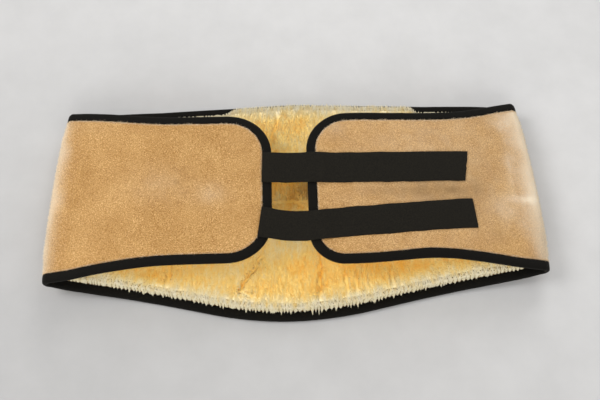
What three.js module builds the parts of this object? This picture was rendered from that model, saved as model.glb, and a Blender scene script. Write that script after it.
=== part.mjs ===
// Sheepskin back warmer belt, lying on its back panel with both front flaps folded over it.
// Millimetres, +Z up, origin on the floor under the middle of the belt, +Y towards the upper edge.
// The band is one flat sheet bent round a loop. "along" runs from the left flap's end round the left
// fold, over the floor and round the right fold to the right flap's end. "up" is the height across the
// band, and "depth" goes inwards from the cover's outer face.
import * as THREE from "three";
import { mergeVertices } from "three/addons/utils/BufferGeometryUtils.js";

// Loop, seen along Y: flat in the middle of the back and of the flaps, curving to a fold on each side
const beltWidth = 438; // fold to fold, at mid height
const foldCentre = 18; // middle of each fold above the floor
const foldRadius = 10.5; // outer face of a fold in its middle
const rimRadius = 6; // outer face of a fold at its bound edges, pressed together
const rimTuck = 1; // the bound edges stay this far inside the fold
const flapTop = 42; // outer face of the flaps in their middle
const flatHalf = 90; // half the flat stretch of the back and of the flaps
const slant = 0.03; // the loop narrows by this share from the back's middle to the side's height above it
const bow = 0.049; // and by this share again with the square of the height

// Band
const backHeight = 217; // height in the middle of the back panel
const bellyCentre = -6; // where the lower edge hangs lowest
const sideHeight = 167; // height at the folds
const sideRaise = 8.5; // middle of the folds above the middle of the back panel
const flapHeight = 142.5; // height of both flaps
const flapRaise = 3; // middle of the flaps above the middle of the back panel
const flapGap = 34; // clear distance between the flap ends
const gapCentre = -4.3; // middle of that gap
const cornerRadius = { left: { lower: 37, upper: 39 }, right: { lower: 29, upper: 37 } };
const marginFlat = 9; // width of the flat margin along every edge
const marginRun = 15; // width of the slope between the margin and the field
const edgeRows = { leastMargin: 2, mostMargin: 0.08, mostSlope: 0.2 }; // mm, then shares of the height

// Layers
const coverThickness = 2.5; // velour on its skin
const pileHeight = 12; // wool on the flat stretches
const woolGap = 1.2; // left between facing wool, half of it on each side
const clearance = 0.4; // between pieces that touch

// Binding
const tapeThickness = 0.8;
const tapeWidth = 7; // how far it reaches over the cover
const tapeOffFloor = 0.1;

// Grid of the flat sheet: columns along each stretch and rows across the band
const steps = { corner: 5, flap: 7, fold: 8, floor: 20 };
const crowding = 1.5; // power by which the columns crowd towards the folds
const sheetRows = 8;
const woolRows = 12;
const woolFiner = 2; // wool columns for each column of the cover outside the folds

// Wool
const woolFlare = 3; // how far the locks lean out over the tape
const lockRise = 1.1; // how far a lock stands over or under the pile
const lockJag = 1.5; // how far a lock stands out of the fleece's edge
const tipInset = 1; // the outermost tips stay this far behind the fleece's edge
const partingDepth = 3;
const partingWidth = 5;

// Straps
const strapLength = { upper: 183, lower: 188 };
const strapWidth = { upper: 30, lower: 28 };
const strapHold = { upper: 7.2, lower: 9.7 }; // how far behind the left flap's end they start
const strapRise = { upper: 20, lower: -33 }; // middle of the left end, above the middle of the back panel
const strapThickness = 1.5;
const strapSag = 1.2; // over the gap between the flaps
const strapRest = 4; // behind the tape, before the strap comes down on the cover
const strapSteps = 26;

// Edge of the back panel from a fold (0) to its middle (1), as shares of the way from the fold's edge to
// the middle's edge. The last row mirrors the one before the middle, so that the edge runs level there.
const backEdge = [
  { along: 0, lower: 0, upper: 0 },
  { along: 0.06, lower: 0.07, upper: 0.2 },
  { along: 0.13, lower: 0.13, upper: 0.37 },
  { along: 0.21, lower: 0.2, upper: 0.5 },
  { along: 0.3, lower: 0.28, upper: 0.61 },
  { along: 0.4, lower: 0.39, upper: 0.69 },
  { along: 0.5, lower: 0.52, upper: 0.75 },
  { along: 0.6, lower: 0.66, upper: 0.8 },
  { along: 0.75, lower: 0.86, upper: 0.87 },
  { along: 0.87, lower: 0.96, upper: 0.94 },
  { along: 1, lower: 1, upper: 1 },
  { along: 1.13, lower: 0.96, upper: 0.94 },
];

// Edge of a flap from its fold (0) to its end (1), as shares of the way from the fold's edge to the flap's.
const flapEdge = {
  left: [
    { along: 0, lower: 0, upper: 0 },
    { along: 0.1, lower: 0.06, upper: 0.19 },
    { along: 0.2, lower: 0.37, upper: 0.4 },
    { along: 0.3, lower: 0.64, upper: 0.62 },
    { along: 0.4, lower: 0.85, upper: 0.82 },
    { along: 0.5, lower: 0.97, upper: 0.95 },
    { along: 0.62, lower: 1, upper: 1 },
    { along: 1, lower: 1, upper: 1 },
  ],
  right: [
    { along: 0, lower: 0, upper: 0 },
    { along: 0.1, lower: 0.13, upper: 0.34 },
    { along: 0.2, lower: 0.42, upper: 0.66 },
    { along: 0.3, lower: 0.76, upper: 0.9 },
    { along: 0.4, lower: 1.05, upper: 1.02 },
    { along: 0.5, lower: 1.08, upper: 1.04 },
    { along: 0.62, lower: 0.84, upper: 1.02 },
    { along: 0.75, lower: 0.6, upper: 0.98 },
    { along: 1, lower: 0.6, upper: 0.98 },
  ],
};

// Soft creases in the flaps: place along the flap from its fold and up the flap, size as shares of the
// flap's height, depth as a share of the cover's thickness, lean in degrees from upright.
const creases = [
  { flap: "right", along: 0.1, up: 0.45, long: 0.32, wide: 0.15, deep: 0.45, lean: 8 },
  { flap: "right", along: 0.5, up: 0.48, long: 0.3, wide: 0.18, deep: 0.4, lean: 78 },
  { flap: "left", along: 0.16, up: 0.6, long: 0.34, wide: 0.16, deep: 0.35, lean: -6 },
  { flap: "left", along: 0.62, up: 0.3, long: 0.3, wide: 0.18, deep: 0.3, lean: 60 },
];

// Partings of the wool on the back panel: place from the left fold (0) to the right fold (1), reach up
// from the lower edge as a share of the height there, and lean in degrees.
const partings = [
  { along: 0.28, reach: 0.3, lean: 4 },
  { along: 0.43, reach: 0.26, lean: -24 },
  { along: 0.55, reach: 0.32, lean: 2 },
  { along: 0.71, reach: 0.3, lean: -3 },
  { along: 0.89, reach: 0.2, lean: 6 },
];

// Straps: how far each end is cut on the slant, as a share of the width, and how the middle line wanders,
// in shares of the strap's length and width.
const straps = [
  {
    name: "strap_upper",
    length: strapLength.upper,
    width: strapWidth.upper,
    hold: strapHold.upper,
    rise: strapRise.upper,
    slant: { start: 0.03, end: 0.17 },
    line: [
      { along: 0, shift: 0 },
      { along: 0.33, shift: -0.04 },
      { along: 0.67, shift: -0.07 },
      { along: 1, shift: -0.04 },
    ],
  },
  {
    name: "strap_lower",
    length: strapLength.lower,
    width: strapWidth.lower,
    hold: strapHold.lower,
    rise: strapRise.lower,
    slant: { start: 0.14, end: -0.07 },
    line: [
      { along: 0, shift: 0 },
      { along: 0.14, shift: -0.15 },
      { along: 0.24, shift: -0.165 },
      { along: 0.33, shift: -0.1 },
      { along: 0.65, shift: 0.03 },
      { along: 1, shift: 0.2 },
    ],
  },
];

// What follows from those sizes
const halfFloor = beltWidth / 2 - foldRadius; // stretch of the back on each side of its middle
const leftEnd = gapCentre - flapGap / 2;
const rightEnd = gapCentre + flapGap / 2;
const leftRun = halfFloor + leftEnd;
const rightRun = halfFloor - rightEnd;
const foldRun = Math.PI * foldRadius;
const bandLength = leftRun + rightRun + 2 * foldRun + 2 * halfFloor;
const sideEdge = { lower: sideRaise - sideHeight / 2, upper: sideRaise + sideHeight / 2 };
const middleEdge = { lower: -backHeight / 2, upper: backHeight / 2 };
const endEdge = { lower: flapRaise - flapHeight / 2, upper: flapRaise + flapHeight / 2 };
const bellyAt = { lower: bellyCentre, upper: 0 };
const tapeReach = clearance + tapeThickness; // outside of the tape beyond the cover
const edgeLift = tapeReach + tapeOffFloor; // the tape holds the back panel's edge off the floor
const woolBase = coverThickness + clearance;
const woolInset = tapeWidth + 2 * clearance;

const velour = new THREE.MeshStandardMaterial({ color: 0xc89e66, roughness: 0.95, metalness: 0 });
const wool = new THREE.MeshStandardMaterial({ color: 0xe2b868, roughness: 1, metalness: 0 });
const tape = new THREE.MeshStandardMaterial({ color: 0x1a1813, roughness: 0.85, metalness: 0 });
const webbing = new THREE.MeshStandardMaterial({ color: 0x23211d, roughness: 0.8, metalness: 0 });

// A smooth curve through one column of a table.
function tableCurve(rows, column) {
  const places = rows.map((row) => row.along);
  const values = rows.map((row) => row[column]);
  const curve = new THREE.CubicInterpolant(places, values, 1, [0]);
  return (along) => curve.evaluate(along)[0];
}

const sides = ["lower", "upper"];
const curvesOf = (rows) => Object.fromEntries(sides.map((side) => [side, tableCurve(rows, side)]));
const backCurve = curvesOf(backEdge);
const flapCurve = { left: curvesOf(flapEdge.left), right: curvesOf(flapEdge.right) };

// The stretch of the loop that a place lies on, and how far along it, from 0 to 1.
function stretchAt(along) {
  const stretches = [
    { name: "flap", side: "left", length: leftRun },
    { name: "fold", side: "left", length: foldRun },
    { name: "floor", length: 2 * halfFloor },
    { name: "fold", side: "right", length: foldRun },
    { name: "flap", side: "right", length: rightRun },
  ];
  let start = 0;
  let found = stretches.find(({ length }) => (start += length) >= along);
  if (!found) [found, start] = [stretches[stretches.length - 1], bandLength];
  return { ...found, share: 1 - (start - along) / found.length };
}

// The band's lower or upper edge at a place along it, before the flap corners are rounded.
function edgeAt(along, edge) {
  const { name, side, share } = stretchAt(along);
  if (name === "fold") return sideEdge[edge];
  if (name === "floor") {
    const middle = 0.5 + bellyAt[edge] / (2 * halfFloor);
    const toMiddle = share < middle ? share / middle : (1 - share) / (1 - middle);
    return THREE.MathUtils.lerp(sideEdge[edge], middleEdge[edge], backCurve[edge](toMiddle));
  }
  const fromFold = side === "left" ? 1 - share : share;
  return THREE.MathUtils.lerp(sideEdge[edge], endEdge[edge], flapCurve[side][edge](fromFold));
}

// How close a place is to the band's edge: 1 on the margin, 0 behind its slope.
function marginAt(along, up) {
  const inside = Math.min(up - edgeAt(along, "lower"), edgeAt(along, "upper") - up);
  return 1 - THREE.MathUtils.clamp((inside - marginFlat) / marginRun, 0, 1);
}

// A fold's arc, from the back panel's end to the flap's, on the margin (1) or in the field (0).
function foldAt(margin) {
  const radius = THREE.MathUtils.lerp(foldRadius, rimRadius, margin);
  const centre = beltWidth / 2 - radius - rimTuck * margin;
  const run = centre - flatHalf;
  const backTurn = Math.atan((2 * (foldCentre - radius)) / run) - Math.PI / 2;
  const flapTurn = Math.PI / 2 - Math.atan((2 * (flapTop - foldCentre - radius)) / run);
  const point = (turn) => [centre + radius * Math.cos(turn), foldCentre + radius * Math.sin(turn)];
  return { radius, backTurn, flapTurn, point };
}

// Height of the outer face under or over a place across the belt, curving to the fold's arc.
function curvedHeight(x, middle, [endX, endHeight]) {
  const share = Math.max(0, Math.abs(x) - flatHalf) / (endX - flatHalf);
  return THREE.MathUtils.lerp(middle, endHeight, share * share);
}

function backHeightAt(x, margin, fold) {
  return Math.max(curvedHeight(x, 0, fold.point(fold.backTurn)), edgeLift * margin);
}

function flapHeightAt(x, fold) {
  return curvedHeight(x, flapTop, fold.point(fold.flapTurn));
}

// The outer face's line round the loop, seen along Y.
function loopPoint(along, margin) {
  const { name, side, share } = stretchAt(along);
  const fold = foldAt(margin);
  const sign = side === "left" ? -1 : 1;
  if (name === "fold") {
    const fromBack = side === "left" ? 1 - share : share;
    const [x, z] = fold.point(THREE.MathUtils.lerp(fold.backTurn, fold.flapTurn, fromBack));
    return [sign * x, z];
  }
  if (name === "floor") {
    const x = (2 * share - 1) * fold.point(fold.backTurn)[0];
    return [x, backHeightAt(x, margin, fold)];
  }
  const end = side === "left" ? leftEnd : rightEnd;
  const fromEnd = side === "left" ? share : 1 - share;
  const x = THREE.MathUtils.lerp(end, sign * fold.point(fold.flapTurn)[0], fromEnd);
  return [x, flapHeightAt(x, fold)];
}

// How far the creases press the sheet in at a place.
function creaseAt(along, up) {
  let depth = 0;
  for (const crease of creases) {
    const fold = crease.flap === "left" ? leftRun - crease.along * leftRun : bandLength - rightRun;
    const centre = crease.flap === "left" ? fold : fold + crease.along * rightRun;
    const lean = THREE.MathUtils.degToRad(crease.lean);
    const dx = along - centre;
    const dy = up - (endEdge.lower + crease.up * flapHeight);
    const across = (dx * Math.cos(lean) + dy * Math.sin(lean)) / (crease.wide * flapHeight);
    const down = (dy * Math.cos(lean) - dx * Math.sin(lean)) / (crease.long * flapHeight);
    depth += crease.deep * coverThickness * Math.exp(-across * across - down * down);
  }
  return depth;
}

// A place in the bent band: along the loop, up across it and in from the cover's outer face.
function place(along, up, depth) {
  const step = 0.01;
  const margin = marginAt(along, up);
  const [x, z] = loopPoint(along, margin);
  const [x0, z0] = loopPoint(along - step, margin);
  const [x1, z1] = loopPoint(along + step, margin);
  const inward = new THREE.Vector2(z0 - z1, x1 - x0).normalize();
  const inside = depth + creaseAt(along, up);
  const height = up / sideHeight;
  const narrowed = 1 - slant * height - bow * height * height;
  return new THREE.Vector3((x + inward.x * inside) * narrowed, up, z + inward.y * inside);
}

// Spacing of the columns in a stretch: even, crowded at its start or crowded at both ends.
const even = (share) => share;
const crowded = (share) => share ** crowding;
const crowdedEnds = (share) => (share < 0.5 ? crowded(2 * share) / 2 : 1 - crowded(2 - 2 * share) / 2);

// Places round a flap's corner or along a straight edge, from the left flap's end to the right one's.
function columnsOf(finer) {
  const columns = [];
  const corner = steps.corner * finer;
  const widest = (end) => Math.max(cornerRadius[end].lower, cornerRadius[end].upper);
  const spread = (to, count, spacing) => {
    const from = columns[columns.length - 1].along;
    for (let i = 1; i <= count; i++) columns.push({ along: from + (to - from) * spacing(i / count) });
  };
  for (let i = 0; i < corner; i++) columns.push({ end: "left", turn: ((i / corner) * Math.PI) / 2 });
  columns.push({ along: widest("left") });
  spread(leftRun, steps.flap * finer, (share) => 1 - crowded(1 - share));
  spread(leftRun + foldRun, steps.fold, even);
  spread(bandLength - rightRun - foldRun, steps.floor * finer, crowdedEnds);
  spread(bandLength - rightRun, steps.fold, even);
  spread(bandLength - widest("right"), steps.flap * finer, crowded);
  for (let i = corner - 1; i >= 0; i--) columns.push({ end: "right", turn: ((i / corner) * Math.PI) / 2 });
  return columns;
}

// The point of a column on the lower or upper edge, moved in from the edge by an inset.
function edgePoint(column, side, inset) {
  const outward = side === "lower" ? -1 : 1;
  if (!column.end) return [column.along, edgeAt(column.along, side) - outward * inset];
  const radius = cornerRadius[column.end][side];
  const arc = radius - inset;
  const fromEnd = radius - arc * Math.cos(column.turn);
  const centre = column.end === "left" ? radius : bandLength - radius;
  const up = edgeAt(centre, side) + outward * (arc * Math.sin(column.turn) - radius);
  return [column.end === "left" ? fromEnd : bandLength - fromEnd, up];
}

// Shares of the way across the band at which its rows lie: on each edge, behind its margin and behind its
// slope, and evenly between the slopes.
function rowShares(rows, inset, span) {
  const { leastMargin, mostMargin, mostSlope } = edgeRows;
  const near = Math.min(Math.max(marginFlat - inset, leastMargin) / span, mostMargin);
  const far = Math.min((marginFlat + marginRun - inset) / span, mostSlope);
  const cells = rows - 5;
  const field = Array.from({ length: cells + 1 }, (_, i) => far + ((1 - 2 * far) * i) / cells);
  return [0, near, ...field, 1 - near, 1];
}

// Flat place of a column and row of the band, with the whole grid moved in by an inset.
function gridPoint(column, row, rows, inset) {
  const low = edgePoint(column, "lower", inset);
  const high = edgePoint(column, "upper", inset);
  const share = rowShares(rows, inset, high[1] - low[1])[row];
  return [THREE.MathUtils.lerp(low[0], high[0], share), THREE.MathUtils.lerp(low[1], high[1], share)];
}

// The closed run of grid places round the band's edge, each as [column, row], turning against the clock.
function rimOf(columns, rows) {
  const last = columns.length - 1;
  const rim = [];
  for (let i = 0; i < last; i++) rim.push([i, 0]);
  for (let j = 0; j < rows - 1; j++) rim.push([last, j]);
  for (let i = last; i > 0; i--) rim.push([i, rows - 1]);
  for (let j = rows - 1; j > 0; j--) rim.push([0, j]);
  return rim;
}

// Triangles between two runs of points of the same length, facing the left of the first run.
function stitch(triangles, first, second, closed) {
  const count = closed ? first.length : first.length - 1;
  for (let i = 0; i < count; i++) {
    const next = (i + 1) % first.length;
    triangles.push(first[i], first[next], second[next], first[i], second[next], second[i]);
  }
}

// A geometry of flat triangles, with the points that coincide merged.
function solidFrom(triangles) {
  const flat = triangles.flatMap((point) => [point.x, point.y, point.z]);
  const geometry = new THREE.BufferGeometry();
  geometry.setAttribute("position", new THREE.Float32BufferAttribute(flat, 3));
  const merged = mergeVertices(geometry, 1e-3);
  merged.computeVertexNormals();
  return merged;
}

// A padded sheet: an outer grid, an inner grid and a wall of layers between their rims.
function paddedSheet(columns, rows, layers) {
  const triangles = [];
  const gridOf = (layer) =>
    columns.map((column, i) => Array.from({ length: rows }, (_, j) => layer(column, i, j)));
  const outer = gridOf(layers[0]);
  const inner = gridOf(layers[layers.length - 1]);
  for (let i = 0; i + 1 < columns.length; i++) {
    stitch(triangles, outer[i], outer[i + 1], false);
    stitch(triangles, inner[i + 1], inner[i], false);
  }
  const rim = rimOf(columns, rows);
  const rings = layers.map((layer) => rim.map(([i, j]) => layer(columns[i], i, j)));
  for (let k = 0; k + 1 < rings.length; k++) stitch(triangles, rings[k], rings[k + 1], true);
  return solidFrom(triangles);
}

// A steady scatter between -1 and 1 for a lock of wool.
function scatter(i, j) {
  const wave = Math.sin(i * 127.1 + j * 311.7) * 43758.5453;
  return 2 * (wave - Math.floor(wave)) - 1;
}

function coverGeometry() {
  const face = (depth) => (column, i, j) => place(...gridPoint(column, j, sheetRows, 0), depth);
  return paddedSheet(columnsOf(1), sheetRows, [face(0), face(coverThickness)]);
}

// Height of the wool over its base, pressed together where the loop is shallow.
function pileAt(along, up) {
  const margin = marginAt(along, up);
  const fold = foldAt(margin);
  const [x] = loopPoint(along, margin);
  const inFold = stretchAt(along).name === "fold";
  const clear = inFold ? 2 * fold.radius : flapHeightAt(x, fold) - backHeightAt(x, margin, fold);
  return Math.min(pileHeight, clear / 2 - woolBase - woolGap);
}

// How deep the partings cut into the wool at a place.
function partingAt(along, up) {
  const low = edgeAt(along, "lower");
  const height = edgeAt(along, "upper") - low;
  let depth = 0;
  for (const parting of partings) {
    const foot = leftRun + foldRun + parting.along * 2 * halfFloor;
    const centre = foot + (up - low) * Math.tan(THREE.MathUtils.degToRad(parting.lean));
    const across = (along - centre) / partingWidth;
    const reach = 1 - THREE.MathUtils.smoothstep((up - low) / height, 0.5 * parting.reach, parting.reach);
    depth += partingDepth * reach * Math.exp(-across * across);
  }
  return depth;
}

function fleeceGeometry() {
  const rows = woolRows;
  const columns = columnsOf(woolFiner);
  const tapeTop = coverThickness + 2 * clearance + tapeThickness;
  const base = (column, i, j) => place(...gridPoint(column, j, rows, woolInset), woolBase);
  const neck = (column, i, j) => place(...gridPoint(column, j, rows, woolInset), tapeTop);
  // A layer of locks on the rim, leaning out by a share of the flare at a share of the height over the tape.
  const locks = (flare, share) => (column, i, j) => {
    const jag = lockJag * (0.5 * (-1) ** (i + j) + 0.5 * scatter(i, j));
    const [along, up] = gridPoint(column, j, rows, woolInset - flare * woolFlare + jag);
    return place(along, up, THREE.MathUtils.lerp(tapeTop, woolBase + pileAt(along, up), share));
  };
  const tips = (column, i, j) => {
    const [along, up] = gridPoint(column, j, rows, woolInset + tipInset);
    const pile = pileAt(along, up);
    const rise = (lockRise * pile * (0.6 * (-1) ** (i + j) + 0.4 * scatter(i, j))) / pileHeight;
    return place(along, up, woolBase + pile + rise - partingAt(along, up));
  };
  const layers = [base, neck, locks(1, 0.25), locks(0.7, 0.65), tips];
  return paddedSheet(columns, rows, layers);
}

// Section of the tape as [inset from the sheet's edge, depth], a U open towards the sheet.
function tapeSection() {
  const near = -clearance;
  const far = coverThickness + clearance;
  const round = 0.6 * tapeThickness;
  return [
    [tapeWidth, near],
    [tapeWidth, near - tapeThickness],
    [near - tapeThickness + round, near - tapeThickness],
    [near - tapeThickness, near],
    [near - tapeThickness, far],
    [near - tapeThickness + round, far + tapeThickness],
    [tapeWidth, far + tapeThickness],
    [tapeWidth, far],
    [near, far],
    [near, near],
  ];
}

function bindingGeometry() {
  const columns = columnsOf(1);
  const rim = rimOf(columns, sheetRows);
  const rings = tapeSection().map(([inset, depth]) =>
    rim.map(([i, j]) => place(...gridPoint(columns[i], j, sheetRows, inset), depth)),
  );
  const triangles = [];
  rings.forEach((ring, k) => stitch(triangles, ring, rings[(k + 1) % rings.length], true));
  return solidFrom(triangles);
}

// Height of what a strap lies on, at a place across the belt.
function underStrap(x) {
  const tapeRun = tapeWidth + strapRest;
  const onLeft = 1 - THREE.MathUtils.smoothstep(leftEnd - x, tapeRun, 2 * tapeRun);
  const onRight = 1 - THREE.MathUtils.smoothstep(x - rightEnd, tapeRun, 2 * tapeRun);
  const overGap = THREE.MathUtils.clamp((x - leftEnd) / flapGap, 0, 1);
  const sag = strapSag * Math.sin(Math.PI * overGap);
  return flapHeightAt(x, foldAt(0)) + tapeReach * Math.min(onLeft, onRight) - sag;
}

function strapGeometry({ length, width, hold, rise, slant, line }) {
  const shift = tableCurve(line, "shift");
  const rings = [];
  for (let i = 0; i <= strapSteps; i++) {
    const along = i / strapSteps;
    const middle = rise + shift(along) * width;
    const lean = THREE.MathUtils.lerp(slant.start, slant.end, along) * width;
    const corners = [
      [-0.5, 0],
      [0.5, 0],
      [0.5, strapThickness],
      [-0.5, strapThickness],
    ];
    rings.push(
      corners.map(([across, thick]) => {
        const x = leftEnd - hold + along * length + across * lean;
        return new THREE.Vector3(x, middle + across * width, underStrap(x) + clearance + thick);
      }),
    );
  }
  const triangles = [];
  for (let i = 0; i < strapSteps; i++) stitch(triangles, rings[i], rings[i + 1], true);
  const [head, tail] = [rings[0], rings[strapSteps]];
  triangles.push(head[0], head[3], head[2], head[0], head[2], head[1]);
  triangles.push(tail[0], tail[1], tail[2], tail[0], tail[2], tail[3]);
  return solidFrom(triangles);
}

function named(name, geometry, material) {
  const mesh = new THREE.Mesh(geometry, material);
  mesh.name = name;
  return mesh;
}

const belt = new THREE.Group();
belt.add(named("outer_cover", coverGeometry(), velour));
belt.add(named("wool_lining", fleeceGeometry(), wool));
belt.add(named("edge_binding", bindingGeometry(), tape));
for (const strap of straps) belt.add(named(strap.name, strapGeometry(strap), webbing));

export default belt;
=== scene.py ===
# Sheepskin back warmer belt, lying on its back panel with both front flaps folded over it.
# Metres in the scene. The band's own measures are in millimetres, as a maker would write them.
import math
import bpy
import bmesh
import numpy as np
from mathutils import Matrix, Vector


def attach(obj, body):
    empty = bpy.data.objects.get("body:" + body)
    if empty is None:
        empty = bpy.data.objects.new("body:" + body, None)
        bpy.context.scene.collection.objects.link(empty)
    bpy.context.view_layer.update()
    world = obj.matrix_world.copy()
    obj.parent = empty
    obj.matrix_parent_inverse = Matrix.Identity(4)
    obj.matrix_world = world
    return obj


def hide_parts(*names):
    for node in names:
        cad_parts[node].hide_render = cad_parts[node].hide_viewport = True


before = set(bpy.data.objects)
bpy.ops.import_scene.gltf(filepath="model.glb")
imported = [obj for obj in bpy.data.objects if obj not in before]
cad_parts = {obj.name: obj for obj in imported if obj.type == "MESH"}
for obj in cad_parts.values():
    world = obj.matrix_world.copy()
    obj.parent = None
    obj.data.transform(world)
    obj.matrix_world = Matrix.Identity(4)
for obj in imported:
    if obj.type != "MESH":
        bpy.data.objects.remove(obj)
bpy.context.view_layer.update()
scene = bpy.context.scene
scene.view_settings.view_transform = "Standard"

# camera: above the lower edge, looking down at the belt
cameraPlan = {"from": (-4.5, -331.3, 696.3), "at": (5.0, 8.2, 0.0), "lens": 50.0, "sensor": 36.0}


def addCamera(plan):
    data = bpy.data.cameras.new("viewCamera")
    data.lens = plan["lens"]
    data.sensor_width = plan["sensor"]
    data.clip_start = 0.01
    camera = bpy.data.objects.new("viewCamera", data)
    eye = Vector(plan["from"]) / 1000
    aim = Vector(plan["at"]) / 1000
    camera.location = eye
    camera.rotation_euler = (aim - eye).to_track_quat("-Z", "Y").to_euler()
    scene.collection.objects.link(camera)
    scene.camera = camera


addCamera(cameraPlan)
print("camera set")

# the band: one flat sheet bent round a loop.
# along runs from the left flap's end round the left fold, over the floor and round the right fold,
# up runs across the band, depth goes inwards from the velour's outer face.
band = {
    "width": 438.0, "foldCentre": 18.0, "foldRadius": 10.5, "rimRadius": 6.0, "rimTuck": 1.0,
    "flapTop": 42.0, "flatHalf": 90.0, "slant": 0.03, "bow": 0.049,
    "backHeight": 217.0, "bellyCentre": -6.0, "sideHeight": 167.0, "sideRaise": 8.5,
    "flapHeight": 142.5, "flapRaise": 3.0, "flapGap": 34.0, "gapCentre": -4.3,
    "cornerLeft": (37.0, 39.0), "cornerRight": (29.0, 37.0),
    "marginFlat": 9.0, "marginRun": 15.0,
    "cover": 2.5, "clearance": 0.4, "tape": 0.8, "tapeWidth": 7.0,
    "pile": 12.0, "woolGap": 1.2, "rimLift": 1.3,
    # place from the fold to the middle, then how far each edge has gone from its side height
    "backEdge": [(0, 0, 0), (0.06, 0.07, 0.2), (0.13, 0.13, 0.37), (0.21, 0.2, 0.5), (0.3, 0.28, 0.61),
                 (0.4, 0.39, 0.69), (0.5, 0.52, 0.75), (0.6, 0.66, 0.8), (0.75, 0.86, 0.87),
                 (0.87, 0.96, 0.94), (1, 1, 1), (1.13, 0.96, 0.94)],
    "flapLeft": [(0, 0, 0), (0.1, 0.06, 0.19), (0.2, 0.37, 0.4), (0.3, 0.64, 0.62), (0.4, 0.85, 0.82),
                 (0.5, 0.97, 0.95), (0.62, 1, 1), (1, 1, 1)],
    "flapRight": [(0, 0, 0), (0.1, 0.13, 0.34), (0.2, 0.42, 0.66), (0.3, 0.76, 0.9), (0.4, 1.05, 1.02),
                  (0.5, 1.08, 1.04), (0.62, 0.84, 1.02), (0.75, 0.6, 0.98), (1, 0.6, 0.98)],
    # soft dents of the flaps: side, place from the fold, height up the flap, length, width, depth, lean
    "creases": [("right", 0.1, 0.45, 46, 21, 1.1, 8), ("right", 0.5, 0.48, 43, 26, 1.0, 78),
                ("left", 0.16, 0.6, 48, 23, 0.9, -6), ("left", 0.62, 0.3, 43, 26, 0.75, 60)],
    # soft waves of the flaps: height, length along, length up, seed
    "waves": [(0.35, 31, 27, 3), (0.15, 12, 13, 4)],
}
halfFloor = band["width"] / 2 - band["foldRadius"]
leftEnd = band["gapCentre"] - band["flapGap"] / 2
rightEnd = band["gapCentre"] + band["flapGap"] / 2
foldRun = math.pi * band["foldRadius"]
leftRun = halfFloor + leftEnd
rightRun = halfFloor - rightEnd
stops = np.cumsum([0, leftRun, foldRun, 2 * halfFloor, foldRun, rightRun])
bandLength = stops[5]
woolBase = band["cover"] + band["clearance"]


def mix(a, b, share):
    return a + (b - a) * share


def smooth(value, low, high):
    t = np.clip((value - low) / (high - low), 0, 1)
    return t * t * (3 - 2 * t)


def tableCurve(rows, column):
    places = np.array([row[0] for row in rows], float)
    values = np.array([row[column] for row in rows], float)
    slopes = np.gradient(values, places)

    def at(q):
        q = np.clip(q, places[0], places[-1])
        i = np.clip(np.searchsorted(places, q) - 1, 0, len(places) - 2)
        w = places[i + 1] - places[i]
        t = (q - places[i]) / w
        return ((1 + 2 * t) * (1 - t) ** 2 * values[i] + t * (1 - t) ** 2 * w * slopes[i]
                + t * t * (3 - 2 * t) * values[i + 1] + t * t * (t - 1) * w * slopes[i + 1])

    return at


curves = {key: (tableCurve(band[key], 1), tableCurve(band[key], 2))
          for key in ("backEdge", "flapLeft", "flapRight")}
sideEdge = (band["sideRaise"] - band["sideHeight"] / 2, band["sideRaise"] + band["sideHeight"] / 2)
backMiddle = (-band["backHeight"] / 2, band["backHeight"] / 2)
flapEdge = (band["flapRaise"] - band["flapHeight"] / 2, band["flapRaise"] + band["flapHeight"] / 2)


def edgeAt(along, side):  # side 0 is the lower edge, 1 the upper one
    share = (along - stops[2]) / (2 * halfFloor)
    middle = 0.5 + (band["bellyCentre"] if side == 0 else 0) / (2 * halfFloor)
    toMiddle = np.where(share < middle, share / middle, (1 - share) / (1 - middle))
    left = mix(sideEdge[side], flapEdge[side], curves["flapLeft"][side](1 - along / leftRun))
    right = mix(sideEdge[side], flapEdge[side], curves["flapRight"][side]((along - stops[4]) / rightRun))
    floor = mix(sideEdge[side], backMiddle[side], curves["backEdge"][side](toMiddle))
    fold = np.full_like(floor, sideEdge[side])
    return np.select([along < stops[1], along < stops[2], along < stops[3], along < stops[4]],
                     [left, fold, floor, fold], right)


def marginAt(along, up):
    inside = np.minimum(up - edgeAt(along, 0), edgeAt(along, 1) - up)
    return 1 - smooth(inside, band["marginFlat"] - 2, band["marginFlat"] + band["marginRun"] + 2)


def foldArc(margin):
    radius = mix(band["foldRadius"], band["rimRadius"], margin)
    centre = band["width"] / 2 - radius - band["rimTuck"] * margin
    run = centre - band["flatHalf"]
    backTurn = np.arctan(2 * (band["foldCentre"] - radius) / run) - math.pi / 2
    flapTurn = math.pi / 2 - np.arctan(2 * (band["flapTop"] - band["foldCentre"] - radius) / run)
    return radius, centre, backTurn, flapTurn


def arcPoint(arc, turn):
    return arc[1] + arc[0] * np.cos(turn), band["foldCentre"] + arc[0] * np.sin(turn)


def curvedHeight(x, middle, end):
    share = np.maximum(0, np.abs(x) - band["flatHalf"]) / (end[0] - band["flatHalf"])
    return middle + (end[1] - middle) * share * share


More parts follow.
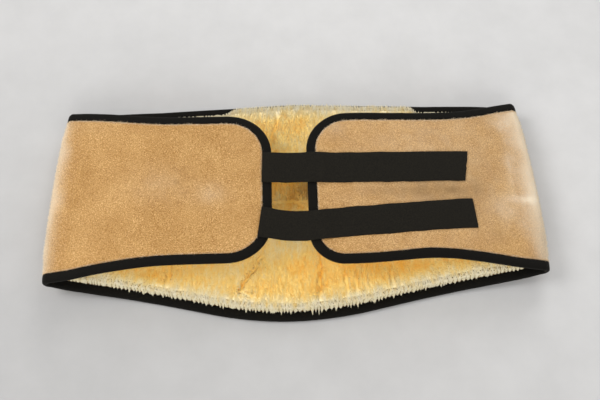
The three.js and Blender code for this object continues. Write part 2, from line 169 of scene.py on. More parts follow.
def loopPoint(along, margin):
    arc = foldArc(margin)
    backEnd, flapEnd = arcPoint(arc, arc[2]), arcPoint(arc, arc[3])
    leftFold = arcPoint(arc, mix(arc[2], arc[3], 1 - (along - stops[1]) / foldRun))
    rightFold = arcPoint(arc, mix(arc[2], arc[3], (along - stops[3]) / foldRun))
    floorX = (2 * (along - stops[2]) / (2 * halfFloor) - 1) * backEnd[0]
    floorZ = np.maximum(curvedHeight(floorX, 0, backEnd), band["rimLift"] * margin)
    leftX = mix(leftEnd, -flapEnd[0], along / leftRun)
    rightX = mix(flapEnd[0], rightEnd, (along - stops[4]) / rightRun)
    where = [along < stops[1], along < stops[2], along < stops[3], along < stops[4]]
    x = np.select(where, [leftX, -leftFold[0], floorX, rightFold[0]], rightX)
    z = np.select(where, [curvedHeight(leftX, band["flapTop"], flapEnd), leftFold[1], floorZ, rightFold[1]],
                  curvedHeight(rightX, band["flapTop"], flapEnd))
    return x, z


def softNoise(x, y, seed):  # smooth noise from -1 to 1, one bump for each unit
    column, row = np.floor(x), np.floor(y)
    fx, fy = smooth(x - column, 0, 1), smooth(y - row, 0, 1)

    def corner(i, j):
        wave = np.sin(i * 127.1 + j * 311.7 + seed * 74.7) * 43758.5453
        return wave - np.floor(wave)

    low = mix(corner(column, row), corner(column + 1, row), fx)
    high = mix(corner(column, row + 1), corner(column + 1, row + 1), fx)
    return 2 * mix(low, high, fy) - 1


def waves(along, up, table):  # soft noises added up: height, length along, length up and seed in each row
    return sum(height * softNoise(along / long, up / high, seed) for height, long, high, seed in table)


def dentAt(along, up):  # dents and soft waves of the flaps
    depth = np.zeros_like(along)
    for side, place, height, long, wide, deep, lean in band["creases"]:
        centre = leftRun * (1 - place) if side == "left" else stops[4] + rightRun * place
        turn = math.radians(lean)
        dx, dy = along - centre, up - (flapEdge[0] + height * band["flapHeight"])
        across = (dx * math.cos(turn) + dy * math.sin(turn)) / wide
        down = (dy * math.cos(turn) - dx * math.sin(turn)) / long
        depth = depth + deep * np.exp(-across * across - down * down)
    onFlap = 1 - smooth(np.minimum(along - stops[1], stops[4] - along), -30, 0)
    return depth + onFlap * waves(along, up, band["waves"])


def bandPoint(along, up, depth):  # bends flat places into the loop, in metres
    along, up, depth = (np.asarray(v, float) for v in (along, up, depth))
    margin = marginAt(along, up)
    x, z = loopPoint(along, margin)
    x0, z0 = loopPoint(along - 0.4, margin)
    x1, z1 = loopPoint(along + 0.4, margin)
    inX, inZ = z0 - z1, x1 - x0
    size = np.hypot(inX, inZ)
    inside = depth + dentAt(along, up)
    rise = up / band["sideHeight"]
    narrowed = 1 - band["slant"] * rise - band["bow"] * rise * rise
    return np.stack([(x + inX / size * inside) * narrowed, up, z + inZ / size * inside], axis=-1) / 1000


def cornerOf(end, side):
    return band["cornerLeft" if end == "left" else "cornerRight"][side]


def insideBy(along, up):  # how far a place lies inside the band's outline
    low, high = up - edgeAt(along, 0), edgeAt(along, 1) - up
    toEdge = np.minimum(low, high)
    toEnd = np.minimum(along, bandLength - along)
    left, upper = along < bandLength / 2, high < low
    where = [left & ~upper, left & upper, ~left & ~upper]
    corners = [cornerOf("left", 0), cornerOf("left", 1), cornerOf("right", 0)]
    radius = np.select(where, corners, cornerOf("right", 1))
    rounded = radius - np.hypot(radius - toEnd, radius - toEdge)
    return np.where((toEnd < radius) & (toEdge < radius), rounded, np.minimum(toEnd, toEdge))


# the flat sheet's grid: columns that turn round the flap corners and run along the band
def sheetColumns(corner, flap, fold, floor):
    rows = [(-1, i / corner * math.pi / 2) for i in range(corner)] + [(0, max(band["cornerLeft"]))]

    def run(end, count):
        start = rows[-1][1]
        rows.extend((0, mix(start, end, (i + 1) / count)) for i in range(count))

    run(stops[1], flap)
    run(stops[2], fold)
    run(stops[3], floor)
    run(stops[4], fold)
    run(bandLength - max(band["cornerRight"]), flap)
    rows.extend((1, i / corner * math.pi / 2) for i in range(corner - 1, -1, -1))
    return np.array(rows)


def planColumns(plan):
    return sheetColumns(plan["corner"], plan["flap"], plan["fold"], plan["floor"])


def edgePlace(columns, side, inset):
    kind, value = columns[..., 0], columns[..., 1]
    outward = -1 if side == 0 else 1
    straight = np.where(kind == 0, value, 0)
    along, up = straight, edgeAt(straight, side) - outward * inset
    for code, end in ((-1, "left"), (1, "right")):
        radius = cornerOf(end, side)
        arc = radius - inset
        fromEnd = radius - arc * np.cos(value)
        centre = radius if end == "left" else bandLength - radius
        cornerUp = edgeAt(np.full_like(value, centre), side) + outward * (arc * np.sin(value) - radius)
        along = np.where(kind == code, fromEnd if end == "left" else bandLength - fromEnd, along)
        up = np.where(kind == code, cornerUp, up)
    return along, up


def sheetPlace(columns, share, inset):
    low, high = edgePlace(columns, 0, inset), edgePlace(columns, 1, inset)
    return mix(low[0], high[0], share), mix(low[1], high[1], share)


def readPlaces(mesh):
    co = np.empty(len(mesh.vertices) * 3)
    mesh.vertices.foreach_get("co", co)
    return co.reshape(-1, 3)


def setMap(mesh, name, uv):  # a map from one place for each vertex
    corners = np.empty(len(mesh.loops), int)
    mesh.loops.foreach_get("vertex_index", corners)
    mesh.uv_layers.new(name=name).data.foreach_set("uv", uv[corners].ravel())


def finishObject(name, mesh, material, smoothShade=True):
    mesh.materials.append(material)
    if smoothShade:
        mesh.polygons.foreach_set("use_smooth", np.ones(len(mesh.polygons), bool))
    mesh.update()
    piece = bpy.data.objects.new(name, mesh)
    scene.collection.objects.link(piece)
    return piece


# A closed slab in the flat sheet's places (column, share across, layer), then bent round the loop.
def bentSlab(name, columns, rows, walls, shape):
    bm = bmesh.new()
    bmesh.ops.create_grid(bm, x_segments=len(columns) - 1, y_segments=rows - 1, size=0.5)
    grown = bmesh.ops.extrude_face_region(bm, geom=bm.faces[:], use_keep_orig=True)
    newVerts = [v for v in grown["geom"] if isinstance(v, bmesh.types.BMVert)]
    bmesh.ops.translate(bm, verts=newVerts, vec=(0, 0, 1))
    upright = [e for e in bm.edges if abs(e.verts[0].co.z - e.verts[1].co.z) > 0.5]
    if walls > 1:
        bmesh.ops.subdivide_edges(bm, edges=upright, cuts=walls - 1, use_grid_fill=True)
    bmesh.ops.recalc_face_normals(bm, faces=bm.faces[:])
    mesh = bpy.data.meshes.new(name)
    bm.to_mesh(mesh)
    bm.free()
    co = readPlaces(mesh)
    i = np.rint((co[:, 0] + 0.5) * (len(columns) - 1)).astype(int)
    flat = shape(columns[i], co[:, 1] + 0.5, co[:, 2])
    mesh.vertices.foreach_set("co", bandPoint(*flat).ravel())
    return mesh, flat


# materials
def tint(red, green, blue):  # a colour as a paint program shows it
    def linear(value):
        return value / 255 / 12.92 if value < 10 else ((value / 255 + 0.055) / 1.055) ** 2.4

    return linear(red), linear(green), linear(blue), 1


def newMaterial(name, **sockets):
    material = bpy.data.materials.new(name)
    material.use_nodes = True
    tree = material.node_tree
    shader = tree.nodes["Principled BSDF"]
    for socket, value in sockets.items():
        shader.inputs[socket.replace("_", " ")].default_value = value
    return material, tree, shader


def addNode(tree, kind, settings=None, **links):
    node = tree.nodes.new(kind)
    for key, value in (settings or {}).items():
        if hasattr(node, key):
            setattr(node, key, value)
        else:
            node.inputs[key].default_value = value
    for key, source in links.items():
        tree.links.new(source, node.inputs[key])
    return node


def addRamp(tree, source, marks):
    node = tree.nodes.new("ShaderNodeValToRGB")
    ramp = node.color_ramp
    while len(ramp.elements) < len(marks):
        ramp.elements.new(0.5)
    for element, (place, colour) in zip(ramp.elements, marks):
        element.position = place
        element.color = colour
    tree.links.new(source, node.inputs["Fac"])
    return node.outputs["Color"]


def addNoise(tree, vector, scale, detail=2.0, rough=0.5):
    node = tree.nodes.new("ShaderNodeTexNoise")
    node.inputs["Scale"].default_value = scale
    node.inputs["Detail"].default_value = detail
    node.inputs["Roughness"].default_value = rough
    tree.links.new(vector, node.inputs["Vector"])
    return node.outputs["Fac"]


def addMath(tree, operation, first, second):
    node = tree.nodes.new("ShaderNodeMath")
    node.operation = operation
    for socket, value in zip(node.inputs, (first, second)):
        if isinstance(value, (int, float)):
            socket.default_value = value
        else:
            tree.links.new(value, socket)
    return node.outputs[0]


def addBlend(tree, share, first, second, way="MIX"):
    node = tree.nodes.new("ShaderNodeMix")
    node.data_type = "RGBA"
    node.blend_type = way
    sockets = (node.inputs["Factor"], node.inputs[6], node.inputs[7])
    for socket, value in zip(sockets, (share, first, second)):
        if isinstance(value, (int, float, tuple)):
            socket.default_value = value
        else:
            tree.links.new(value, socket)
    return node.outputs[2]


def addBump(tree, shader, height, distance, strength):
    node = tree.nodes.new("ShaderNodeBump")
    node.inputs["Distance"].default_value = distance
    node.inputs["Strength"].default_value = strength
    tree.links.new(height, node.inputs["Height"])
    tree.links.new(node.outputs["Normal"], shader.inputs["Normal"])


velourLook = {
    # two colours here are painted: pale is sheen round the folds, and the one after it is shade between the straps
    "dark": tint(146, 104, 55), "main": tint(186, 140, 78), "light": tint(229, 189, 132),
    "pale": tint(250, 236, 212), "shadedAndSoiled": tint(132, 102, 62), "sheen": (1.0, 0.93, 0.82, 1),
    # the nap's grain, its tufts and its clouds: scale, detail and roughness, then their shares of the colour
    "noises": [(1900, 2.0, 0.75), (950, 2.0, 0.6), (34, 3.0, 0.55)],
    "shares": (0.56, 0.32, 0.12),
    "marks": (0.38, 0.5, 0.61),  # where the blend is dark, main and light
}


def velourMaterial(look):
    material, tree, shader = newMaterial("tanVelour", Roughness=0.95, Sheen_Weight=0.3, Sheen_Roughness=0.45,
                                         Sheen_Tint=look["sheen"], Specular_IOR_Level=0.15)
    place = tree.nodes.new("ShaderNodeTexCoord").outputs["Object"]
    fleck, tuft, cloud = [addNoise(tree, place, *noise) for noise in look["noises"]]
    pairs = zip((fleck, tuft, cloud), look["shares"])
    parts = [addMath(tree, "MULTIPLY", noise, share) for noise, share in pairs]
    blend = addMath(tree, "ADD", parts[0], addMath(tree, "ADD", parts[1], parts[2]))
    nap = addRamp(tree, blend, list(zip(look["marks"], (look["dark"], look["main"], look["light"]))))
    # painted sheen: the velour turns paler round the folds and at paler spots
    sheenAndPaleSpots = addNode(tree, "ShaderNodeAttribute", {"attribute_name": "sheenAndPaleSpots"}).outputs["Fac"]
    # painted shade: the velour turns darker between the straps and beside the upper strap's end, and darker at the
    # folds' lower ends
    shadeAndSoil = addNode(tree, "ShaderNodeAttribute", {"attribute_name": "shadeAndSoil"}).outputs["Fac"]
    colour = addBlend(tree, shadeAndSoil, addBlend(tree, sheenAndPaleSpots, nap, look["pale"]), look["shadedAndSoiled"])
    tree.links.new(colour, shader.inputs["Base Color"])
    addBump(tree, shader, addMath(tree, "ADD", fleck, tuft), 0.0009, 0.55)
    return material


# colours of the strands from a tone of 0, cream, to 1, gold
woolLook = {
    "tips": [(0.0, tint(255, 247, 218)), (0.3, tint(255, 238, 184)),
             (0.6, tint(255, 227, 146)), (1.0, tint(255, 200, 76))],
    "roots": [(0.0, tint(255, 241, 208)), (0.3, tint(255, 228, 160)),
              (0.6, tint(255, 214, 118)), (1.0, tint(250, 180, 58))],
}


def woolMaterial(look):  # reads tone along U and root to tip along V of the strands' own map
    material, tree, shader = newMaterial("goldenWool", Roughness=0.9, Sheen_Weight=0.3, Sheen_Roughness=0.3,
                                         Sheen_Tint=(1.0, 0.9, 0.66, 1), Specular_IOR_Level=0.1)
    strand = addNode(tree, "ShaderNodeUVMap", {"uv_map": "OFBake"}).outputs["UV"]
    split = addNode(tree, "ShaderNodeSeparateXYZ", Vector=strand)
    tips = addRamp(tree, split.outputs["X"], look["tips"])
    roots = addRamp(tree, split.outputs["X"], look["roots"])
    tree.links.new(addBlend(tree, split.outputs["Y"], roots, tips), shader.inputs["Base Color"])
    return material


# rib and thread are the weave's repeats in millimetres, along U and along V
tapeLook = {"dark": tint(5, 4, 3), "light": tint(18, 16, 11), "rib": 1.1, "thread": 1.1, "rough": 0.85}
webbingLook = {"dark": tint(12, 10, 7), "light": tint(33, 30, 22), "rib": 1.6, "thread": 0.9, "rough": 0.8}
wavePerMetre = 6283  # turns a place in metres into a wave that repeats each millimetre


def clothMaterial(name, look):  # a woven band, along U and across V of its own map
    material, tree, shader = newMaterial(name, Roughness=look["rough"], Sheen_Weight=0.04, Sheen_Roughness=0.5,
                                         Sheen_Tint=(0.9, 0.86, 0.78, 1), Specular_IOR_Level=0.12)
    place = addNode(tree, "ShaderNodeUVMap", {"uv_map": "cloth"}).outputs["UV"]
    split = addNode(tree, "ShaderNodeSeparateXYZ", Vector=place)
    ribs, threads = wavePerMetre / look["rib"], wavePerMetre / look["thread"]
    warp = addMath(tree, "SINE", addMath(tree, "MULTIPLY", split.outputs["X"], ribs), 0)
    weft = addMath(tree, "SINE", addMath(tree, "MULTIPLY", split.outputs["Y"], threads), 0)
    weave = addMath(tree, "MULTIPLY", warp, weft)
    fuzz = addNoise(tree, tree.nodes.new("ShaderNodeTexCoord").outputs["Object"], 900, 2.0, 0.6)
    height = addMath(tree, "ADD", addMath(tree, "MULTIPLY", weave, 0.35), fuzz)
    colour = addRamp(tree, height, [(0.25, look["dark"]), (0.85, look["light"])])
    tree.links.new(colour, shader.inputs["Base Color"])
    addBump(tree, shader, height, 0.0003, 0.6)
    return material


velour = velourMaterial(velourLook)
wool = woolMaterial(woolLook)
tapeCloth = clothMaterial("blackTape", tapeLook)
webbing = clothMaterial("blackWebbing", webbingLook)
print("materials made")

# outer cover
coverPlan = {
    "corner": 20, "flap": 54, "fold": 28, "floor": 110, "rows": 70, "puff": 0.8,
    # painted sheen: palest share at each fold, and how far it reaches
    "foldSheen": {"left": (0.62, 26), "right": (0.9, 34)},
    # paler places on the flaps, then darker places, partly soil and partly painted shade between the straps and
    # right of the upper strap's end: x, y, reach across and up, share
    "paleSpots": [(125, 20, 90, 90, 0.15), (196, 70, 12, 14, 0.36), (197, 20, 6, 26, 0.3),
               (207, -11, 14, 4, 0.4), (186, -22, 12, 14, 0.22), (202, -36, 6, 16, 0.2),
               (-20, 62, 16, 10, 0.16), (30, 62, 16, 9, 0.16), (-120, 6, 26, 18, 0.08),
               (-75, -4, 16, 10, 0.14)],
    "shadedAndSoiled": [(128, -5, 34, 8, 0.8), (84, -6, 26, 6, 0.3), (162, 8, 7, 20, 0.22),
               (176, -38, 5, 16, 0.14), (-104, 8, 3, 3, 0.35), (222, -62, 18, 34, 0.4),
               (-222, -60, 16, 30, 0.16)],
}


def makeCover(plan):
    columns = planColumns(plan)

    def shape(cols, share, layer):
        along, up = sheetPlace(cols, share, 0.0)
        inside = insideBy(along, up)
        puff = plan["puff"] * smooth(inside, band["tapeWidth"] - 0.6, band["tapeWidth"] + 0.8)
        onFloor = (along > stops[2]) & (along < stops[3])
        outer = np.where(onFloor, 0, -puff)
        return along, up, np.where(layer < 0.5, outer, band["cover"])

    mesh, flat = bentSlab("velourCover", columns, plan["rows"], 1, shape)
    along = flat[0]
    sheenAndPaleSpots = np.zeros_like(along)
    # painted sheen: the velour pales round each fold
    for side, middle in (("left", (stops[1] + stops[2]) / 2), ("right", (stops[3] + stops[4]) / 2)):
        most, reach = plan["foldSheen"][side]
        fromFold = np.abs(along - middle) + 4 * softNoise(along / 11, flat[1] / 16, 8)
        sheenAndPaleSpots = sheenAndPaleSpots + most * (1 - smooth(fromFold, 2, reach))
    x = bandPoint(*flat)[:, 0] * 1000
    onTop = (along < stops[2]) | (along > stops[3])

    def spots(table):
        share = np.zeros_like(x)
        for px, py, reachX, reachY, amount in table:
            share = share + amount * np.exp(-((x - px) / reachX) ** 2 - ((flat[1] - py) / reachY) ** 2)
        return np.where(onTop, share * (0.85 + 0.3 * softNoise(x / 5, flat[1] / 6, 9)), 0)

    for attribute, share in (("sheenAndPaleSpots", sheenAndPaleSpots + spots(plan["paleSpots"])), ("shadeAndSoil", spots(plan["shadedAndSoiled"]))):
        layer = mesh.attributes.new(attribute, "FLOAT", "POINT")
        layer.data.foreach_set("value", np.clip(share, 0, 1).astype(np.float32))
    return finishObject("velourCover", mesh, velour)


cover = makeCover(coverPlan)
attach(cover, "root")
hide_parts("outer_cover")
print("cover", len(cover.data.polygons))

# edge binding
tapePlan = {
    "corner": 24, "flap": 80, "fold": 26, "floor": 210, "ends": 30, "uneven": 0.35,
    # inset from the sheet's edge and depth, round the folded tape
    "section": [(7.0, -0.5), (7.0, -1.05), (6.6, -1.25), (4.5, -1.35), (2.0, -1.3), (0.3, -1.05), (-0.7, -0.4),
                (-1.15, 0.5), (-1.15, 2.0), (-0.7, 2.9), (0.3, 3.5), (2.0, 3.75), (4.5, 3.8), (6.6, 3.7),
                (7.0, 3.4), (7.0, 2.95), (3.5, 2.8), (0.2, 2.6), (-0.3, 1.2), (0.2, -0.2), (3.5, -0.35)],
}


def rimCount(plan):
    return 2 * (len(planColumns(plan)) + plan["ends"] - 1)


def rimPlaces(plan, inset, wobble):  # a closed run round the band's edge, moved in by an inset
    columns = planColumns(plan)
    share = np.linspace(0, 1, plan["ends"] + 1)[1:-1]
    inset = inset + wobble

    def part(cols, shares, slots):
        return np.stack(sheetPlace(cols, shares, inset[slots]), axis=-1)

    n, m = len(columns), len(share)
    lower = part(columns, np.zeros(n), slice(0, n))
    right = part(np.repeat(columns[-1:], m, 0), share, slice(n, n + m))
    upper = part(columns[::-1], np.ones(n), slice(n + m, 2 * n + m))
    left = part(np.repeat(columns[:1], m, 0), share[::-1], slice(2 * n + m, 2 * n + 2 * m))
    return np.concatenate([lower, right, upper, left])


def makeTape(plan):
    section = plan["section"]
    count = rimCount(plan)
    runs = np.arange(count)
    bm = bmesh.new()
    bmesh.ops.create_grid(bm, x_segments=count, y_segments=len(section), size=0.5)
    mesh = bpy.data.meshes.new("edgeTape")
    bm.to_mesh(mesh)
    bm.free()
    co = readPlaces(mesh)
    i = np.rint((co[:, 0] + 0.5) * count).astype(int) % count
    j = np.rint((co[:, 1] + 0.5) * len(section)).astype(int) % len(section)
    places = np.empty((len(section), count, 3))
    for k, (inset, depth) in enumerate(section):
        wobble = plan["uneven"] * softNoise(runs / 9, np.full(count, 0.5), 11) * smooth(inset, 3, 7)
        wobble = wobble * (1 - smooth(depth, 1, 2.5))
        places[k, :, :2] = rimPlaces(plan, inset, wobble)
        pucker = 0.12 * softNoise(runs / 3.1, np.full(count, 7.5), 12)
        places[k, :, 2] = depth + pucker * (1 if depth < 0 else 0.3)
    point = places[j, i]
    mesh.vertices.foreach_set("co", bandPoint(point[:, 0], point[:, 1], point[:, 2]).ravel())
    steps = np.linalg.norm(np.diff(places[0, :, :2], axis=0), axis=1)
    length = np.concatenate([[0], np.cumsum(steps), [0]])
    length[-1] = length[-2] + 2
    girth = np.concatenate([[0], np.cumsum(np.hypot(*np.diff(np.array(section + section[:1]), axis=0).T))])
    wrapI = np.rint((co[:, 0] + 0.5) * count).astype(int)
    wrapJ = np.rint((co[:, 1] + 0.5) * len(section)).astype(int)
    setMap(mesh, "cloth", np.stack([length[wrapI] / 1000, girth[wrapJ] / 1000], axis=-1))
    bm = bmesh.new()
    bm.from_mesh(mesh)
    bmesh.ops.remove_doubles(bm, verts=bm.verts[:], dist=1e-6)
    bmesh.ops.recalc_face_normals(bm, faces=bm.faces[:])
    bm.to_mesh(mesh)
    bm.free()
    return finishObject("edgeTape", mesh, tapeCloth)


tape = makeTape(tapePlan)
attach(tape, "root")
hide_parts("edge_binding")
print("binding", len(tape.data.polygons))

# straps
strapPlan = {
    "thick": 1.5, "sag": 1.2, "steps": 110, "rows": 10, "restOn": 11.0,
    "crown": 0.25, "sideWave": (0.25, 7), "faceWave": (0.3, 17, 30), "biteHalf": 1.6,
    # for each strap: its start, how far its ends lean, its line's run and drift, and a bite in its end
    "upper": {"start": (-28.5, 20.0), "length": 183.0, "width": 30.0, "lean": (0.9, 5.1),
              "line": [(0, 0), (0.33, -0.04), (0.67, -0.07), (1, -0.04)], "notch": (0.45, 1.3)},
    "lower": {"start": (-31.0, -33.0), "length": 188.0, "width": 28.0, "lean": (3.9, -2.0),
              "line": [(0, 0), (0.14, -0.15), (0.24, -0.165), (0.33, -0.1), (0.65, 0.03), (1, 0.2)],
              "notch": None},
}


def underStrap(x):
    arc = foldArc(np.zeros_like(x))
    top = curvedHeight(x, band["flapTop"], arcPoint(arc, arc[3]))
    run = strapPlan["restOn"]
    onLeft = 1 - smooth(leftEnd - x, run, 2 * run)
    onRight = 1 - smooth(x - rightEnd, run, 2 * run)
    overGap = np.clip((x - leftEnd) / band["flapGap"], 0, 1)
    lift = (band["clearance"] + band["tape"]) * np.minimum(onLeft, onRight)
    return top + lift + 0.3 - strapPlan["sag"] * np.sin(math.pi * overGap)


def makeStrap(name, plan, seed):
    bm = bmesh.new()
    bmesh.ops.create_grid(bm, x_segments=strapPlan["steps"], y_segments=strapPlan["rows"], size=0.5)
    grown = bmesh.ops.extrude_face_region(bm, geom=bm.faces[:], use_keep_orig=True)
    newVerts = [v for v in grown["geom"] if isinstance(v, bmesh.types.BMVert)]
    bmesh.ops.translate(bm, verts=newVerts, vec=(0, 0, 1))
    bmesh.ops.recalc_face_normals(bm, faces=bm.faces[:])
    mesh = bpy.data.meshes.new(name)
    bm.to_mesh(mesh)
    bm.free()
    co = readPlaces(mesh)
    along, across, layer = co[:, 0] + 0.5, co[:, 1], co[:, 2]
    shift = tableCurve(plan["line"], 1)(along) * plan["width"]
    rough, run = strapPlan["sideWave"]
    edge = rough * softNoise(along * plan["length"] / run, np.sign(across) * 2, seed)
    edge = edge * smooth(np.abs(across), 0.3, 0.5)
    x = plan["start"][0] + along * plan["length"] + across * mix(plan["lean"][0], plan["lean"][1], along)
    if plan["notch"]:
        place, deep = plan["notch"]
        bite = np.exp(-((across + 0.5 - place) * plan["width"] / strapPlan["biteHalf"]) ** 2)
        frayed = deep * softNoise(across * 9, across * 0, seed + 3) * 0.35 - deep * bite * 0.4
        x = x + smooth(along, 0.97, 1) * frayed
    y = plan["start"][1] + shift + across * plan["width"] + edge
    crown = strapPlan["crown"] * (1 - (2 * across) ** 6)
    wave = waves(x, y, [(*strapPlan["faceWave"], seed + 1)]) * smooth(x, rightEnd + 8, rightEnd + 30)
    z = underStrap(x) + 0.2 + (strapPlan["thick"] - strapPlan["crown"]) * layer + crown * layer + wave
    mesh.vertices.foreach_set("co", (np.stack([x, y, z], axis=-1) / 1000).ravel())
    setMap(mesh, "cloth", np.stack([along * plan["length"] / 1000, across * plan["width"] / 1000], axis=-1))
    strap = finishObject(name, mesh, webbing)
    bevel = strap.modifiers.new("softEdge", "BEVEL")
    bevel.width = 0.0004
    bevel.segments = 2
    bevel.limit_method = "ANGLE"
    return strap


strapRows = (("strapUpper", "upper", "strap_upper", 21), ("strapLower", "lower", "strap_lower", 25))
for name, key, node, seed in strapRows:
    strap = makeStrap(name, strapPlan[key], seed)
    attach(strap, "root")
    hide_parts(node)
print("straps made")

# wool lining
woolPlan = {
    "corner": 14, "flap": 60, "fold": 26, "floor": 160, "rows": 72, "walls": 4,
    "inset": 7.9, "shoulder": 3.4, "shoulderBend": 2.5,  # of the fleece's edge, from its foot to its top
    "undercoat": 1.3,  # the strands stand this far over the fleece's body
    "lumps": [(0.5, 7, 9, 51), (0.16, 2.6, 5, 52)],
    "tone": 0.58,  # between cream and gold
    "clouds": [(0.2, 27, 21, 41), (0.09, 8, 11, 42)],
    "rimCream": (5, 26),  # the tone rises over this stretch in from the rim
    # partings on the back panel: x and y of the foot and the head, width, depth
    "partings": [(-112, -92, -110, -62, 1.8, 1.6), (-38, -100, -40, -86, 1.6, 1.0),
                 (-50, -84, -36, -90, 1.4, 1.2), (-50, -84, -30, -52, 1.5, 2.2),
                 (19, -108, 22, -46, 1.7, 2.0), (83, -96, 80, -66, 1.5, 1.6),
                 (160, -78, 158, -58, 1.6, 1.6), (-10, 106, -22, 60, 2.4, 1.4),
                 (44, -96, 42, -62, 1.2, 0.7), (51, -98, 53, -60, 1.2, 0.9),
                 (58, -96, 59, -64, 1.2, 0.7), (-28, -10, -26, 22, 2.2, 2.4)],
    # painted shade: how much deeper the tone is in the partings
    "partingShadeTone": 0.1,
    # how low the pile lies, where that starts left and right of the middle, and how far in it reaches
    "tuck": 0.85, "tuckLeft": (52, 72), "tuckRight": (112, 126), "tuckReach": (9, 32),
    # warmer and paler places on the back panel: x, y, reach along and up, change of tone
    "patches": [(-125, -76, 32, 14, 0.34), (24, -80, 16, 30, 0.28), (50, -70, 22, 22, 0.2),
                (5, 74, 12, 22, 0.3), (-40, -70, 30, 16, -0.1), (-75, -84, 26, 14, -0.16), (105, -66, 40, 14, 0.02),
                (170, -66, 30, 10, -0.16), (-180, -66, 24, 10, -0.16), (-8, 12, 20, 24, 0.12),
                (-28, 84, 14, 20, -0.02), (150, -60, 14, 10, 0.1)],
}


def backX(along):  # place across the belt of a place on the back panel
    return (along - stops[2]) - halfFloor


def pileAt(along, up):
    margin = marginAt(along, up)
    arc = foldArc(margin)
    x, z = loopPoint(along, margin)
    high = curvedHeight(x, band["flapTop"], arcPoint(arc, arc[3]))
    low = np.maximum(curvedHeight(x, 0, arcPoint(arc, arc[2])), band["rimLift"] * margin)
    inFold = ((along > stops[1]) & (along < stops[2])) | ((along > stops[3]) & (along < stops[4]))
    clear = np.where(inFold, 2 * arc[0], high - low)
    pile = np.maximum(np.minimum(band["pile"], clear / 2 - woolBase - band["woolGap"]), 0.6)
    return pile * (1 - tuckAt(along, up))


def tuckAt(along, up):  # the pile lies low along parts of the back's upper edge, clear of the tape
    across, onBack = backX(along), (along > stops[2] - 8) & (along < stops[3] + 8)
    place = np.maximum(smooth(-across, *woolPlan["tuckLeft"]), smooth(across, *woolPlan["tuckRight"]))
    near = 1 - smooth(edgeAt(along, 1) - up, *woolPlan["tuckReach"])
    return np.where(onBack, woolPlan["tuck"] * place * near, 0)


def partingAt(along, up):
    x, onBack = backX(along), (along > stops[2]) & (along < stops[3])
    depth = np.zeros_like(x)
    for x0, y0, x1, y1, wide, deep in woolPlan["partings"]:
        dx, dy = x1 - x0, y1 - y0
        t = np.clip(((x - x0) * dx + (up - y0) * dy) / (dx * dx + dy * dy), 0, 1)
        bend = 1.2 * softNoise(up / 7, up * 0 + x0, 31)
        far = np.hypot(x + bend - (x0 + t * dx), up - (y0 + t * dy))
        depth = depth + deep * np.exp(-(far / wide) ** 2) * (1 - 0.6 * smooth(t, 0.6, 1))
    return np.where(onBack, depth, 0) * smooth(insideBy(along, up), 9, 20)


def toneAt(along, up):
    x, onBack = backX(along), (along > stops[2]) & (along < stops[3])
    tone = woolPlan["tone"] + waves(along, up, woolPlan["clouds"])
    change = np.zeros_like(x)
    for px, py, reachX, reachY, amount in woolPlan["patches"]:
        change = change + amount * np.exp(-((x - px) / reachX) ** 2 - ((up - py) / reachY) ** 2)
    tone = tone + np.where(onBack, change, 0)
    inside = insideBy(along, up) + 3 * softNoise(along / 6, up / 6, 43)
    # painted shade: deeper tone in the partings
    tone = tone + woolPlan["partingShadeTone"] * partingAt(along, up)
    return np.clip(tone, 0, 1) * smooth(inside, *woolPlan["rimCream"])


def fleeceTop(along, up):  # depth of the fleece's body under the strands' tips
    lump = waves(along, up, woolPlan["lumps"])
    pile = pileAt(along, up)
    share = np.clip(pile / band["pile"], 0.1, 1)
    under = np.minimum(woolPlan["undercoat"], 0.35 * pile)
    return woolBase + pile - under + lump * share - np.minimum(partingAt(along, up), 0.5 * pile)


def makeFleece(plan):
    columns = planColumns(plan)

    def shape(cols, share, layer):
        along, up = np.empty_like(share), np.empty_like(share)
        for step in range(plan["walls"] + 1):
            at = np.rint(layer * plan["walls"]) == step
            inset = plan["inset"] + plan["shoulder"] * (step / plan["walls"]) ** plan["shoulderBend"]
            along[at], up[at] = sheetPlace(cols[at], share[at], inset)
        return along, up, mix(woolBase, fleeceTop(along, up), layer)

    mesh, flat = bentSlab("fleeceBody", columns, plan["rows"], plan["walls"], shape)
    along, up = flat[0], flat[1]
    # painted shade: the fleece's body is darker in the partings
    light = 0.6 + 0.2 * softNoise(along / 2.6, up / 5, 52) - 0.2 * partingAt(along, up)
    uv = np.stack([np.clip(toneAt(along, up), 0.01, 0.99), np.clip(light, 0.02, 1)], axis=-1)
    setMap(mesh, "OFBake", uv)
    return finishObject("fleeceBody", mesh, wool)


fleece = makeFleece(woolPlan)
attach(fleece, "root")
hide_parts("wool_lining")
print("fleece", len(fleece.data.polygons))


def lockTemplate(sides):  # one lock of hair: a closed cone with its foot at 0 and its tip at 1
    bm = bmesh.new()
    bmesh.ops.create_cone(bm, cap_ends=True, segments=sides, radius1=1, radius2=0, depth=1)
    bmesh.ops.translate(bm, verts=bm.verts[:], vec=(0, 0, 0.5))
    bmesh.ops.triangulate(bm, faces=bm.faces[:])
    bm.verts.ensure_lookup_table()
    verts = np.array([v.co[:] for v in bm.verts])
    faces = np.array([[v.index for v in f.verts] for f in bm.faces])
    bm.free()
    return verts, faces
